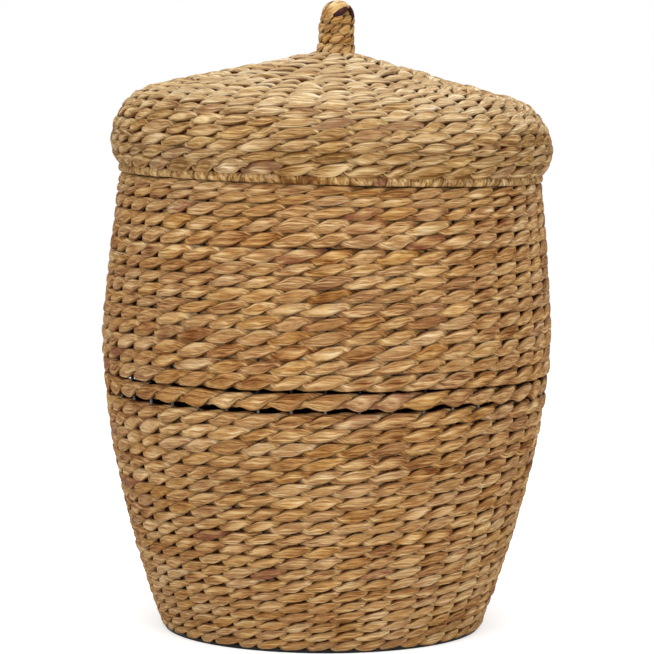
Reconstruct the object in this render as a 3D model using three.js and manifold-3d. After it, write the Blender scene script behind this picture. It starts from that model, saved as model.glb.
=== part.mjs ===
// A lidded storage basket: water hyacinth strands twined round a welded steel wire frame.
// Millimetres, +Z up, origin on the floor under the middle of the basket.
// The woven skins are closed shells with a slot inside them, where the wires of the frame run.

import * as THREE from 'three';
import { mergeVertices } from 'three/addons/utils/BufferGeometryUtils.js';
import Module from 'manifold-3d';

const wasm = await Module();
wasm.setup();

// Gaps
const seatGap = 0.3;
const wireClearance = 0.5;
const slotClearance = 0.8;
const lidFitClearance = 2.0;
const cutOverrun = 2;

// Barrel shape of the wall, radii to the outside of the weave
const footRadius = 157;
const bellyRadius = 221;
const mouthRadius = 207;
const bellyHeight = 294;
const wallTop = 443;
const lowerCurvePower = 1.75;
const upperCurvePower = 1.3;
const wallThickness = 13;

// Stakes, the upright wires that the strands are twined round
const stakeCount = 42;
const stakeRadius = 1.5;
const wireSides = 4;
const lowerSpans = 3;
const upperSpans = 3;

// Foot ring, a flat bar with eased edges
const footRingHeight = 4;
const footRingInset = 1;
const footRingWidth = 8;
const footRingEase = 1;

// Courses of the wall: each one swells to a crest, with a groove where two of them meet
const lowerCourses = 20;
const upperCourses = 14;
const rimCourseHeight = 9;
const footCourseShare = 0.72;
const courseGroove = 1.6;

// Wall weave and its two slits at the belly
const lowerWeaveTop = 234;
const lowerWeaveCollar = 12;
const lowerSlit = 3.5;
const bellyCourseHeight = 11.7;

// Belly hoop, inside the stakes in the upper slit
const bellyHoopRadius = 1.7;

// Rim of the body: a rod hoop on the stakes, closed over by the last course
const rimHoopRadius = 2.5;
const rimCover = 3.2;
const rimEase = 2;

// Welded frames of the base and lid: small hoops that their spokes or ribs start from
const spiderHoopRadius = 2;

// Base: cranked spokes welded to the foot ring, with a woven disc round them
const baseSpokeCount = 21;
const baseHubRadius = 22;
const baseWireHeight = 9.5;
const baseCrankWidth = 11;
const baseWeaveThickness = 12;

// Lid outline, to the outside of the weave
const lidRimOverhang = 1.5;
const lidRimHeight = 10.2;
const lidSideSwell = 8.1;
const lidSideHeight = 33;
const lidShoulderRadius = 57;
const lidConeAngle = THREE.MathUtils.degToRad(13.4);
const lidWeaveThickness = 12;
const lidRimHoopRadius = 2.5;
const lidRimEase = 2;
const outerShoulderSpans = 4;
const innerShoulderSpans = 2;
const lidCollarWidth = 10;

// Frame of the lid: ribs over the shoulder to the rim hoop
const lidRibCount = 42;
const lidHubRadius = 24;
const lidMidHoopRadius = 95;

// Ring under the lid that drops into the mouth
const locatingRingThickness = 8;
const locatingRingDepth = 18;
const locatingRingEase = 2;

// Knob
const knobCoreRadius = 9;
const knobRadius = 17.3;
const knobWeaveHeight = 32.4;
const knobCapHeight = 16.5;
const knobCoreTail = 4;
const knobCoreSocket = 5;
const knobCourses = 4;
const knobCourseGroove = 1.2;
const knobSegments = 20;
const capSpans = 4;

const steelPaint = { color: 0x17161a, roughness: 0.38, metalness: 0.6 };
const bodyStrand = { color: 0x8a5a34, roughness: 0.62, metalness: 0 };
const lidStrand = { color: 0xb08150, roughness: 0.6, metalness: 0 };
const knobStrand = { color: 0x7d5234, roughness: 0.6, metalness: 0 };
const hiddenStrand = { color: 0xa07a4c, roughness: 0.75, metalness: 0 };
const coreWood = { color: 0xb89468, roughness: 0.7, metalness: 0 };

const basket = new THREE.Group();

function point(radius, height) {
  return new THREE.Vector2(radius, height);
}

// The finish is one of the looks above; a name is the name of the piece.
function addPiece(name, geometry, look) {
  const mesh = new THREE.Mesh(geometry, new THREE.MeshStandardMaterial(look));
  mesh.name = name;
  basket.add(mesh);
  return mesh;
}

// Turns an outline of (radius, height) points, counter-clockwise, round the upright axis.
function turned(outline, segments) {
  const geometry = new THREE.LatheGeometry(outline, segments);
  geometry.rotateX(Math.PI / 2);
  return geometry;
}

function closedLoop(outline) {
  return [...outline, outline[0].clone()];
}

// Angle of upright wire number index out of count; the first one is at the front, on -Y.
function wireAngle(index, count) {
  return -Math.PI / 2 + (2 * Math.PI * index) / count;
}

// A path through points, with one ring of the tube at each point.
class WireLine extends THREE.Curve {
  constructor(points) {
    super();
    this.points = points;
  }

  getPoint(share, target = new THREE.Vector3()) {
    const last = this.points.length - 1;
    const place = Math.min(Math.max(share, 0), 1) * last;
    const start = Math.min(Math.floor(place), last - 1);
    return target.lerpVectors(this.points[start], this.points[start + 1], place - start);
  }

  getPointAt(share, target) {
    return this.getPoint(share, target);
  }

  getTangentAt(share, target) {
    return this.getTangent(share, target);
  }
}

// Round wire along (radius, height) points, turned to stand at an angle round the axis.
function wire(outline, radius, angle, sides) {
  const section = new THREE.Shape();
  for (let side = 0; side < sides; side += 1) {
    const turn = (2 * Math.PI * side) / sides;
    const corner = point(radius * Math.cos(turn), radius * Math.sin(turn));
    if (side === 0) {
      section.moveTo(corner.x, corner.y);
    } else {
      section.lineTo(corner.x, corner.y);
    }
  }
  section.closePath();
  const path = new WireLine(outline.map((place) => new THREE.Vector3(place.x, 0, place.y)));
  const geometry = new THREE.ExtrudeGeometry(section, {
    extrudePath: path,
    steps: outline.length - 1,
    bevelEnabled: false,
  });
  geometry.rotateZ(angle);
  return geometry;
}

// Hoop of round wire, with its middle at a radius and height.
function hoop(radius, height, wireRadius, sides, segments) {
  const section = [];
  for (let side = 0; side < sides; side += 1) {
    const turn = (2 * Math.PI * side) / sides;
    section.push(point(radius + wireRadius * Math.cos(turn), height + wireRadius * Math.sin(turn)));
  }
  return turned(closedLoop(section), segments);
}

function toSolid(geometry) {
  const plain = geometry.clone();
  plain.deleteAttribute('normal');
  plain.deleteAttribute('uv');
  const merged = mergeVertices(plain);
  const vertProperties = Float32Array.from(merged.attributes.position.array);
  const triVerts = Uint32Array.from(merged.index.array);
  return new wasm.Manifold(new wasm.Mesh({ numProp: 3, vertProperties, triVerts }));
}

function toGeometry(solid) {
  const mesh = solid.getMesh();
  const geometry = new THREE.BufferGeometry();
  geometry.setAttribute('position', new THREE.BufferAttribute(mesh.vertProperties, mesh.numProp));
  geometry.setIndex(new THREE.BufferAttribute(mesh.triVerts, 1));
  geometry.computeVertexNormals();
  return geometry;
}

// The belly hoop just fits the upper slit.
const bellyCourseBottom = lowerWeaveTop + lowerSlit;
const bellyCourseTop = bellyCourseBottom + bellyCourseHeight;
const upperWeaveBottom = bellyCourseTop + 2 * (bellyHoopRadius + seatGap);

// Heights at which the wall, its slot and the stakes all have a ring of corners.
const lowerCollarBottom = lowerWeaveTop - lowerWeaveCollar;
const levels = [];
for (let span = 0; span <= lowerSpans; span += 1) {
  levels.push((lowerCollarBottom * span) / lowerSpans);
}
for (let span = 0; span <= upperSpans; span += 1) {
  levels.push(upperWeaveBottom + ((wallTop - upperWeaveBottom) * span) / upperSpans);
}

function barrelRadius(height) {
  if (height < bellyHeight) {
    const fall = (bellyHeight - height) / bellyHeight;
    return bellyRadius - (bellyRadius - footRadius) * fall ** lowerCurvePower;
  }
  const rise = (height - bellyHeight) / (wallTop - bellyHeight);
  return bellyRadius - (bellyRadius - mouthRadius) * rise ** upperCurvePower;
}

// Outer radius of the faceted wall at a height, straight between the levels.
function wallRadius(height) {
  const top = levels.findIndex((level) => level >= height);
  if (top <= 0) {
    return barrelRadius(levels[0]);
  }
  const share = (height - levels[top - 1]) / (levels[top] - levels[top - 1]);
  return barrelRadius(levels[top - 1]) * (1 - share) + barrelRadius(levels[top]) * share;
}

// Points up the wall at a depth inside its outer face, from one height to another.
function wallLine(depth, bottom, top) {
  const heights = [bottom, ...levels.filter((level) => level > bottom && level < top), top];
  return heights.map((height) => point(wallRadius(height) - depth, height));
}

// Heights at which courses start and end. The first is a share of the last one's height, and the
// heights between them change evenly.
function courseEdges(bottom, top, count, firstShare) {
  const shares = [];
  for (let course = 0; course < count; course += 1) {
    shares.push(firstShare + ((1 - firstShare) * course) / (count - 1));
  }
  const lastHeight = (top - bottom) / shares.reduce((sum, share) => sum + share);
  const edges = [bottom];
  shares.forEach((share, course) => edges.push(edges[course] + share * lastHeight));
  return edges;
}

// Points up the outside of the wall, over courses that start and end at these heights.
function courseLine(edges) {
  const line = [point(barrelRadius(edges[0]) - courseGroove, edges[0])];
  for (let course = 1; course < edges.length; course += 1) {
    const middle = (edges[course - 1] + edges[course]) / 2;
    line.push(point(barrelRadius(middle), middle));
    line.push(point(barrelRadius(edges[course]) - courseGroove, edges[course]));
  }
  return line;
}

const stakeDepth = wallThickness / 2;
const slotHalfWidth = stakeRadius + slotClearance;
const slotOuterDepth = stakeDepth - slotHalfWidth;
const slotInnerDepth = stakeDepth + slotHalfWidth;

// A ring of weave with one hole for each of its wires, along a line from one face to the other.
function pierced(geometry, start, end, count) {
  let solid = toSolid(geometry);
  const overrun = end.clone().sub(start).setLength(cutOverrun);
  const line = [start.clone().sub(overrun), end.clone().add(overrun)];
  for (let index = 0; index < count; index += 1) {
    const angle = wireAngle(index, count);
    const hole = toSolid(wire(line, stakeRadius + wireClearance, angle, wireSides));
    solid = solid.subtract(hole);
  }
  return toGeometry(solid);
}

function stakePoint(height) {
  return point(wallRadius(height) - stakeDepth, height);
}

// The stakes stand on the foot ring and end under the rim hoop. Their ends are square to the
// wire, which leans, so each end stops a little short by the lean of its lowest or highest corner.
const footRingOuterRadius = footRadius - footRingInset;
const weaveBottom = footRingHeight + seatGap;
const rimHoopTop = wallTop - rimCover - seatGap;
const rimHoopHeight = rimHoopTop - rimHoopRadius;
const rimHoopMiddleRadius = wallRadius(rimHoopHeight) - stakeDepth;

function makeStakes() {
  const footLean = Math.atan((wallRadius(levels[1]) - wallRadius(levels[0])) / levels[1]);
  const lastLevel = levels[levels.length - 2];
  const rimLean = Math.atan((wallRadius(lastLevel) - wallRadius(wallTop)) / (wallTop - lastLevel));
  const bottom = weaveBottom + stakeRadius * Math.sin(footLean);
  const top = rimHoopHeight - rimHoopRadius - seatGap - stakeRadius * Math.sin(rimLean);
  const line = wallLine(stakeDepth, bottom, top);
  for (let index = 0; index < stakeCount; index += 1) {
    const number = String(index + 1).padStart(2, '0');
    const stake = addPiece(`wall_stake_${number}`, wire(line, stakeRadius, 0, wireSides), steelPaint);
    stake.rotation.z = wireAngle(index, stakeCount);
  }
}

function makeFootRing() {
  const inner = footRingOuterRadius - footRingWidth;
  const outline = [
    point(footRingOuterRadius - footRingEase, 0),
    point(footRingOuterRadius, footRingEase),
    point(footRingOuterRadius, footRingHeight),
    point(inner, footRingHeight),
    point(inner, footRingEase),
    point(inner + footRingEase, 0),
  ];
  addPiece('foot_ring', turned(closedLoop(outline), stakeCount), steelPaint);
}

function makeWallWeave() {
  const bottom = weaveBottom;
  const lower = [
    ...courseLine(courseEdges(bottom, lowerWeaveTop, lowerCourses, footCourseShare)),
    ...wallLine(wallThickness, bottom, lowerWeaveTop).reverse(),
    ...wallLine(slotInnerDepth, bottom, lowerCollarBottom),
    ...wallLine(slotOuterDepth, bottom, lowerCollarBottom).reverse(),
  ];
  const lowerShell = turned(closedLoop(lower), stakeCount);
  const collarStart = stakePoint(lowerCollarBottom);
  const collarEnd = stakePoint(lowerWeaveTop);
  const lowerWeave = pierced(lowerShell, collarStart, collarEnd, stakeCount);
  addPiece('wall_weave_lower', lowerWeave, bodyStrand);

  const course = [
    ...courseLine([bellyCourseBottom, bellyCourseTop]),
    ...wallLine(wallThickness, bellyCourseBottom, bellyCourseTop).reverse(),
  ];
  const ring = turned(closedLoop(course), stakeCount);
  const courseStart = stakePoint(bellyCourseBottom);
  const courseEnd = stakePoint(bellyCourseTop);
  addPiece('belly_course', pierced(ring, courseStart, courseEnd, stakeCount), bodyStrand);

  // The slot is open below for the stakes and widens at the top to a pocket for the rim hoop.
  const pocketBottom = rimHoopHeight - rimHoopRadius - seatGap;
  const pocketOuter = rimHoopMiddleRadius + rimHoopRadius + seatGap;
  const pocketInner = rimHoopMiddleRadius - rimHoopRadius - seatGap;
  const outer = wallRadius(wallTop);
  const inner = outer - wallThickness;
  const upper = [
    ...courseLine(courseEdges(upperWeaveBottom, wallTop - rimCourseHeight, upperCourses, 1)),
    point(outer, wallTop - rimEase),
    point(outer - rimEase, wallTop),
    point(inner + rimEase, wallTop),
    ...wallLine(wallThickness, upperWeaveBottom, wallTop - rimEase).reverse(),
    ...wallLine(slotInnerDepth, upperWeaveBottom, pocketBottom),
    point(pocketInner, pocketBottom),
    point(pocketInner, wallTop - rimCover),
    point(pocketOuter, wallTop - rimCover),
    point(pocketOuter, pocketBottom),
    ...wallLine(slotOuterDepth, upperWeaveBottom, pocketBottom).reverse(),
  ];
  addPiece('wall_weave_upper', turned(closedLoop(upper), stakeCount), bodyStrand);
}

function makeBellyHoop() {
  const height = (bellyCourseTop + upperWeaveBottom) / 2;
  const radius = wallRadius(height) - stakeDepth - stakeRadius - seatGap - bellyHoopRadius;
  const ring = hoop(radius, height, bellyHoopRadius, wireSides, stakeCount);
  addPiece('belly_hoop', ring, steelPaint);
}

function makeRimHoop() {
  const radius = rimHoopMiddleRadius;
  const ring = hoop(radius, rimHoopHeight, rimHoopRadius, wireSides, stakeCount);
  addPiece('rim_hoop', ring, steelPaint);
}

// Wires welded to small hoops. Wire number index takes the lines in turn, so every second one
// can start further out, and each line starts on a hoop of its own.
function weldedSpider(lines, count) {
  const sides = wireSides;
  const rings = lines.map((line, order) => {
    const segments = (count * (order + 1)) / lines.length;
    return toSolid(hoop(line[0].x, line[0].y, spiderHoopRadius, sides, segments));
  });
  let solid = rings.reduce((joined, ring) => joined.add(ring));
  for (let index = 0; index < count; index += 1) {
    const line = lines[index % lines.length];
    solid = solid.add(toSolid(wire(line, stakeRadius, wireAngle(index, count), sides)));
  }
  return toGeometry(solid);
}

function makeBase() {
  const facetShare = Math.cos(Math.PI / stakeCount);
  const footEnd = (footRingOuterRadius - footRingWidth) * facetShare - seatGap;
  const crankEnd = wallRadius(0) - wallThickness - stakeRadius;
  const crankStart = crankEnd - baseCrankWidth;
  const line = [
    point(baseHubRadius, baseWireHeight),
    point(crankStart, baseWireHeight),
    point(crankEnd, footRingHeight / 2),
    point(footEnd, footRingHeight / 2),
  ];
  addPiece('base_frame', weldedSpider([line], baseSpokeCount), steelPaint);

  const bottom = baseWireHeight - baseWeaveThickness / 2;
  const top = baseWireHeight + baseWeaveThickness / 2;
  const slotBottom = baseWireHeight - slotHalfWidth;
  const slotTop = baseWireHeight + slotHalfWidth;
  const slotEnd = baseHubRadius - slotHalfWidth;
  const outer = wallRadius(weaveBottom) - wallThickness - seatGap;
  const skinEnd = crankStart - wireClearance;
  const outline = [
    point(0, bottom),
    point(skinEnd, bottom),
    point(skinEnd, slotBottom),
    point(slotEnd, slotBottom),
    point(slotEnd, slotTop),
    point(outer, slotTop),
    point(outer, top),
    point(0, top),
  ];
  addPiece('base_weave', turned(outline, stakeCount), hiddenStrand);
}

// Outline of the lid. The rim stands on the body; the side swells out from it to the shoulder,
// which is an arc, and the arc runs into a cone that rises to the knob.
const lidRimRadius = mouthRadius + lidRimOverhang;
const lidSideRadius = lidRimRadius + lidSideSwell;
const lidBottom = wallTop + seatGap;
const lidWeaveBottom = lidBottom + lidRimHeight + seatGap;
const shoulderHeight = lidBottom + lidSideHeight;
const shoulderMiddle = lidSideRadius - lidShoulderRadius;
const tuckHeight = shoulderHeight - lidWeaveBottom;
const tuckRadius = (tuckHeight ** 2 + lidSideSwell ** 2) / (2 * lidSideSwell);

function sideRadius(height) {
  const drop = shoulderHeight - height;
  return lidSideRadius - tuckRadius + Math.sqrt(tuckRadius ** 2 - drop ** 2);
}

// Height of the cone at a radius, at a depth inside the weave measured square to the cone.
function coneHeight(radius, depth) {
  const arc = lidShoulderRadius - depth;
  const startRadius = shoulderMiddle + arc * Math.sin(lidConeAngle);
  const startHeight = shoulderHeight + arc * Math.cos(lidConeAngle);
  return startHeight + (startRadius - radius) * Math.tan(lidConeAngle);
}

// Points from the rim over the shoulder and up the cone to an inner radius.
function lidLine(depth, bottom, innerRadius, spans) {
  const line = [point(sideRadius(bottom) - depth, bottom)];
  const arc = lidShoulderRadius - depth;
  for (let span = 0; span <= spans; span += 1) {
    const turn = ((Math.PI / 2 - lidConeAngle) * span) / spans;
    line.push(point(shoulderMiddle + arc * Math.cos(turn), shoulderHeight + arc * Math.sin(turn)));
  }
  line.push(point(innerRadius, coneHeight(innerRadius, depth)));
  return line;
}

const ribDepth = lidWeaveThickness / 2;
const lidHoopMiddleRadius = lidRimRadius - ribDepth;

// The weave of the side goes on over the shoulder, to a seam a little way up the cone.
const shoulderEnd = shoulderMiddle + (lidShoulderRadius - lidWeaveThickness) * Math.sin(lidConeAngle);
const seamRadius = shoulderEnd - lidCollarWidth;

// The ring under the lid drops past the narrowest place of the mouth.
const locatingRingBottom = lidBottom - locatingRingDepth;
const narrowestRadius = Math.min(mouthRadius, wallRadius(locatingRingBottom));
const locatingRingOuter = narrowestRadius - wallThickness - lidFitClearance;

function makeLidRim() {
  const hoopTop = lidBottom + lidRimHeight - seatGap;
  const hoopHeight = hoopTop - lidRimHoopRadius;
  const ring = hoop(lidHoopMiddleRadius, hoopHeight, lidRimHoopRadius, wireSides, stakeCount);
  addPiece('lid_rim_hoop', ring, steelPaint);

  const inner = locatingRingOuter + seatGap;
  const top = lidBottom + lidRimHeight;
  const slotBottom = hoopHeight - lidRimHoopRadius - seatGap;
  const slotOuter = lidHoopMiddleRadius + lidRimHoopRadius + seatGap;
  const slotInner = lidHoopMiddleRadius - lidRimHoopRadius - seatGap;
  const outline = [
    point(inner + lidRimEase, lidBottom),
    point(lidRimRadius - lidRimEase, lidBottom),
    point(lidRimRadius, lidBottom + lidRimEase),
    point(lidRimRadius, top),
    point(slotOuter, top),
    point(slotOuter, slotBottom),
    point(slotInner, slotBottom),
    point(slotInner, top),
    point(inner, top),
    point(inner, lidBottom + lidRimEase),
  ];
  addPiece('lid_rim_binding', turned(closedLoop(outline), stakeCount), lidStrand);
}

function makeLidFrame() {
  const ribBottom = lidBottom + lidRimHeight + stakeRadius * Math.sin(lidConeAngle);
  const spans = innerShoulderSpans;
  const longLine = lidLine(ribDepth, ribBottom, lidHubRadius, spans).reverse();
  const shortLine = lidLine(ribDepth, ribBottom, lidMidHoopRadius, spans).reverse();
  addPiece('lid_frame', weldedSpider([longLine, shortLine], lidRibCount), steelPaint);
}

// Two points on the cone, from an outer to an inner radius.
function coneLine(depth, outerRadius, innerRadius) {
  return [outerRadius, innerRadius].map((radius) => point(radius, coneHeight(radius, depth)));
}

function makeLidWeave() {
  const slotTop = ribDepth - slotHalfWidth;
  const slotBottom = ribDepth + slotHalfWidth;
  const spans = innerShoulderSpans;
  const side = [
    ...lidLine(0, lidWeaveBottom, seamRadius, outerShoulderSpans),
    ...lidLine(lidWeaveThickness, lidWeaveBottom, seamRadius, spans).reverse(),
    ...lidLine(slotBottom, lidWeaveBottom, shoulderEnd, spans),
    ...lidLine(slotTop, lidWeaveBottom, shoulderEnd, spans).reverse(),
  ];
  const [collarStart, collarEnd] = coneLine(ribDepth, shoulderEnd, seamRadius);
  const sideRing = turned(closedLoop(side), stakeCount);
  addPiece('lid_weave_side', pierced(sideRing, collarStart, collarEnd, lidRibCount), lidStrand);

  const outerRadius = seamRadius - seatGap;
  const innerRadius = knobCoreRadius + seatGap;
  const slotEnd = lidHubRadius - slotHalfWidth;
  const top = [
    ...coneLine(0, outerRadius, innerRadius),
    ...coneLine(lidWeaveThickness, outerRadius, innerRadius).reverse(),
    ...coneLine(slotBottom, outerRadius, slotEnd),
    ...coneLine(slotTop, outerRadius, slotEnd).reverse(),
  ];
  addPiece('lid_weave_top', turned(closedLoop(top), stakeCount), lidStrand);
}

function makeLocatingRing() {
  const inner = locatingRingOuter - locatingRingThickness;
  const bottom = locatingRingBottom;
  const top = lidBottom + lidRimHeight;
  const outline = [
    point(inner + locatingRingEase, bottom),
    point(locatingRingOuter - locatingRingEase, bottom),
    point(locatingRingOuter, bottom + locatingRingEase),
    point(locatingRingOuter, top),
    point(inner, top),
    point(inner, bottom + locatingRingEase),
  ];
  addPiece('lid_locating_ring', turned(closedLoop(outline), stakeCount), hiddenStrand);
}

function makeKnob() {
  const weaveInner = knobCoreRadius + seatGap;
  const weaveTop = coneHeight(knobRadius, 0) + seatGap + knobWeaveHeight;
  const capBottom = weaveTop + seatGap;
  const coreBottom = coneHeight(knobCoreRadius, lidWeaveThickness) - knobCoreTail;
  const coreTop = capBottom + knobCoreSocket;
  const core = [
    point(0, coreBottom),
    point(knobCoreRadius, coreBottom),
    point(knobCoreRadius, coreTop),
    point(0, coreTop),
  ];
  addPiece('knob_core', turned(core, knobSegments), coreWood);

  const weaveBottomOuter = coneHeight(knobRadius - knobCourseGroove, 0) + seatGap;
  const weaveBottomInner = coneHeight(weaveInner, 0) + seatGap;
  const courseHeight = (weaveTop - weaveBottomOuter) / knobCourses;
  const weave = [point(weaveInner, weaveBottomInner)];
  for (let course = 0; course < knobCourses; course += 1) {
    const courseBottom = weaveBottomOuter + course * courseHeight;
    weave.push(point(knobRadius - knobCourseGroove, courseBottom));
    weave.push(point(knobRadius, courseBottom + courseHeight / 2));
  }
  weave.push(point(knobRadius - knobCourseGroove, weaveTop));
  weave.push(point(weaveInner, weaveTop));
  addPiece('knob_weave', turned(closedLoop(weave), knobSegments), knobStrand);

  const socketTop = coreTop + seatGap;
  const cap = [
    point(0, socketTop),
    point(weaveInner, socketTop),
    point(weaveInner, capBottom),
  ];
  for (let span = 0; span <= capSpans; span += 1) {
    const turn = (Math.PI / 2) * (span / capSpans);
    const radius = span === capSpans ? 0 : knobRadius * Math.cos(turn);
    cap.push(point(radius, capBottom + knobCapHeight * Math.sin(turn)));
  }
  addPiece('knob_cap', turned(cap, knobSegments), knobStrand);
}

makeFootRing();
makeBase();
makeStakes();
makeWallWeave();
makeBellyHoop();
makeRimHoop();
makeLidRim();
makeLidFrame();
makeLidWeave();
makeLocatingRing();
makeKnob();

export default basket;
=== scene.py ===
"""Lidded storage basket: water hyacinth strands twined round a frame of black wire.

Outlines are worked out in millimetres, as (radius, height) round the upright axis, and a piece's
points are turned to metres as they are set. Angle 0 is on +X and the photographed side is on -Y.
"""

import math

import bmesh
import bpy
import numpy as np
from mathutils import Matrix, Vector


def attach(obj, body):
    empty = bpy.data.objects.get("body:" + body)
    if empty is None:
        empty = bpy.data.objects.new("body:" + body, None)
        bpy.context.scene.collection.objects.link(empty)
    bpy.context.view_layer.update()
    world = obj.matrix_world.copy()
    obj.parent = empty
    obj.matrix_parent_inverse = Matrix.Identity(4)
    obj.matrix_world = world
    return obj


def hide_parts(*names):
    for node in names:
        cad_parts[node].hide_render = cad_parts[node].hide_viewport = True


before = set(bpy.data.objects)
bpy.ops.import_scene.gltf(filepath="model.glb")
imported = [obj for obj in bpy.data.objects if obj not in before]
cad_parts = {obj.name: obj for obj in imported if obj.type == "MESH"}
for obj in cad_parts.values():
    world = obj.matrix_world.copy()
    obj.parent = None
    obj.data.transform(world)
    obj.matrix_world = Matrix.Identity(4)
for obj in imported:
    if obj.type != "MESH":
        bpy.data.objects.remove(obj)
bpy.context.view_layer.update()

METRES = 0.001
PHOTO_PIXELS = 654
FULL_TURN = 2 * math.pi
FRONT = -math.pi / 2

# Wall of the basket, radii to the outside of the leaves
FOOT_RADIUS = 157
BELLY_RADIUS = 221
MOUTH_RADIUS = 207
BELLY_HEIGHT = 294
WALL_TOP = 443
LOWER_CURVE = 1.75
UPPER_CURVE = 1.3
WALL_THICKNESS = 13
STAKES = 42
STAKE_RADIUS = 1.3
STAKE_BOTTOM = 4.9
STAKE_TOP = 434

# Foot ring, hoops and base of the basket. A wire is given by its radius
FOOT_RING_RADIUS = 152
FOOT_RING_WIDTH = 8
FOOT_RING_HEIGHT = 4
FOOT_RING_EASE = 0.9
BELLY_HOOP_HEIGHT = 251.2
BELLY_HOOP_WIRE = 1.7
BELLY_HOOP_GAP = 0.3
RIM_HOOP_HEIGHT = 437
RIM_WIRE = 2.4
SPOKES = 21
SPOKE_HEIGHT = 9.5
HUB_WIRE = 1.9
BASE_HUB_RADIUS = 22
BASE_EDGE = 138.8
BASE_PITCH = 12
BASE_THICKNESS = 12
BASE_UNDERSIDE = 3.5

# Lid, radii to the outside of the leaves
LID_WEAVE_BOTTOM = 453.8
LID_SIDE_RADIUS = 216.6
LID_SIDE_SWELL = 8.1
SHOULDER_HEIGHT = 476.3
SHOULDER_RADIUS = 57
CONE_ANGLE = math.radians(13.4)
LID_THICKNESS = 12
LID_HOOP_RADIUS = 202.5
LID_HOOP_HEIGHT = 450.7
LID_HUB_RADIUS = 24
LID_MIDDLE_RADIUS = 95
KNOB_RADIUS = 17.3

# How the basket has settled: its axis bends towards +X, its courses tip a little less, and the lid
# sits askew on it, with its crown sunk
LEAN_HEIGHT = 600
LEAN_ASIDE = (3.8, 6.0)
COURSE_TIP = 0.016
LID_TIP = 0.012
LID_FLOOR = 448
CROWN_SAG = 1.9
CROWN_LEAN = 180
SAG_START = 10
SAG_REACH = 50


# Outlines

def barrel_radius(height):
    """Outer radius of the wall: two power curves that meet at the belly."""
    fall = np.clip((BELLY_HEIGHT - height) / BELLY_HEIGHT, 0, None)
    rise = np.clip((height - BELLY_HEIGHT) / (WALL_TOP - BELLY_HEIGHT), 0, None)
    below = (BELLY_RADIUS - FOOT_RADIUS) * fall ** LOWER_CURVE
    above = (BELLY_RADIUS - MOUTH_RADIUS) * rise ** UPPER_CURVE
    return BELLY_RADIUS - below - above


def lid_outline():
    """Points of the lid's outside, from the rim's top over the shoulder and up the cone."""
    drop = SHOULDER_HEIGHT - LID_WEAVE_BOTTOM
    tuck = (drop ** 2 + LID_SIDE_SWELL ** 2) / (2 * LID_SIDE_SWELL)
    heights = np.linspace(LID_WEAVE_BOTTOM, SHOULDER_HEIGHT, 24)
    bulge = np.sqrt(tuck ** 2 - (SHOULDER_HEIGHT - heights) ** 2)
    side = np.stack([LID_SIDE_RADIUS - tuck + bulge, heights], axis=1)
    turns = np.linspace(0, math.pi / 2 - CONE_ANGLE, 40)[1:]
    middle = LID_SIDE_RADIUS - SHOULDER_RADIUS
    shoulder = np.stack([middle + SHOULDER_RADIUS * np.cos(turns),
                         SHOULDER_HEIGHT + SHOULDER_RADIUS * np.sin(turns)], axis=1)
    start = shoulder[-1]
    radii = np.linspace(start[0], 0, 60)[1:]
    cone = np.stack([radii, start[1] + (start[0] - radii) * math.tan(CONE_ANGLE)], axis=1)
    return np.concatenate([side, shoulder, cone])


LID_OUTLINE = lid_outline()
LID_DISTANCES = np.concatenate([[0], np.cumsum(np.hypot(*np.diff(LID_OUTLINE, axis=0).T))])
# From this point of the outline on, just below the cone, the radius only shrinks
CONE_START = 60


def wall_place(height):
    """A point on the wall's outside, and the direction up the wall there."""
    slope = (barrel_radius(height + 1) - barrel_radius(height - 1)) / 2
    upward = np.array([slope, 1.0])
    return np.array([barrel_radius(height), height]), upward / np.linalg.norm(upward)


def lid_place(distance):
    """A point on the lid's outside, and the direction up the lid there."""
    def at(where):
        return np.array([np.interp(where, LID_DISTANCES, LID_OUTLINE[:, axis]) for axis in (0, 1)])

    upward = at(distance + 2) - at(distance - 2)
    return at(distance), upward / np.linalg.norm(upward)


def cone_height(radius):
    """Height of the cone's outside at a radius."""
    return np.interp(-radius, -LID_OUTLINE[CONE_START:, 0], LID_OUTLINE[CONE_START:, 1])


def cone_distance(radius):
    """Distance up the lid's outside to a radius of the cone."""
    return np.interp(-radius, -LID_OUTLINE[CONE_START:, 0], LID_DISTANCES[CONE_START:])


# Mesh helpers

def finished_mesh(name, bm):
    """Closes the seams of a bmesh, turns its faces out and makes it a smooth mesh."""
    bmesh.ops.remove_doubles(bm, verts=bm.verts, dist=1e-6)
    bmesh.ops.recalc_face_normals(bm, faces=bm.faces)
    for face in bm.faces:
        face.smooth = True
    mesh = bpy.data.meshes.new(name)
    bm.to_mesh(mesh)
    bm.free()
    return mesh


def settle(mesh, on_lid):
    """Bends a mesh as the basket has settled: upright at the foot, leaning a little at the top."""
    points = np.empty(3 * len(mesh.vertices), dtype=np.float32)
    mesh.vertices.foreach_get("co", points)
    points = points.reshape(-1, 3) / METRES
    height = points[:, 2].copy()
    share = height / LEAN_HEIGHT
    across = points[:, 0].copy()
    points[:, 0] += LEAN_ASIDE[0] * share + LEAN_ASIDE[1] * share ** 2
    points[:, 2] -= COURSE_TIP * np.clip(share, 0, 1) ** 1.5 * across
    if on_lid:
        points[:, 0] += LID_TIP * (height - LID_FLOOR)
        sunk = CROWN_SAG * (1 + across / CROWN_LEAN)
        deep = smooth_step((height - LID_FLOOR - SAG_START) / SAG_REACH)
        points[:, 2] -= LID_TIP * across + sunk * deep
    mesh.vertices.foreach_set("co", (points * METRES).ravel())
    mesh.update()


def place_piece(mesh, name, body, nodes, material):
    """Makes a piece of a mesh, rides it on its body and hides the solids that it stands for."""
    settle(mesh, body == "lid")
    piece = bpy.data.objects.new(name, mesh)
    bpy.context.scene.collection.objects.link(piece)
    mesh.materials.clear()
    mesh.materials.append(material)
    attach(piece, body)
    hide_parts(*nodes)


def place_steel(mesh, name, body, node, material):
    """Makes a piece of the wire frame."""
    place_piece(mesh, name, body, [node], material)


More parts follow.
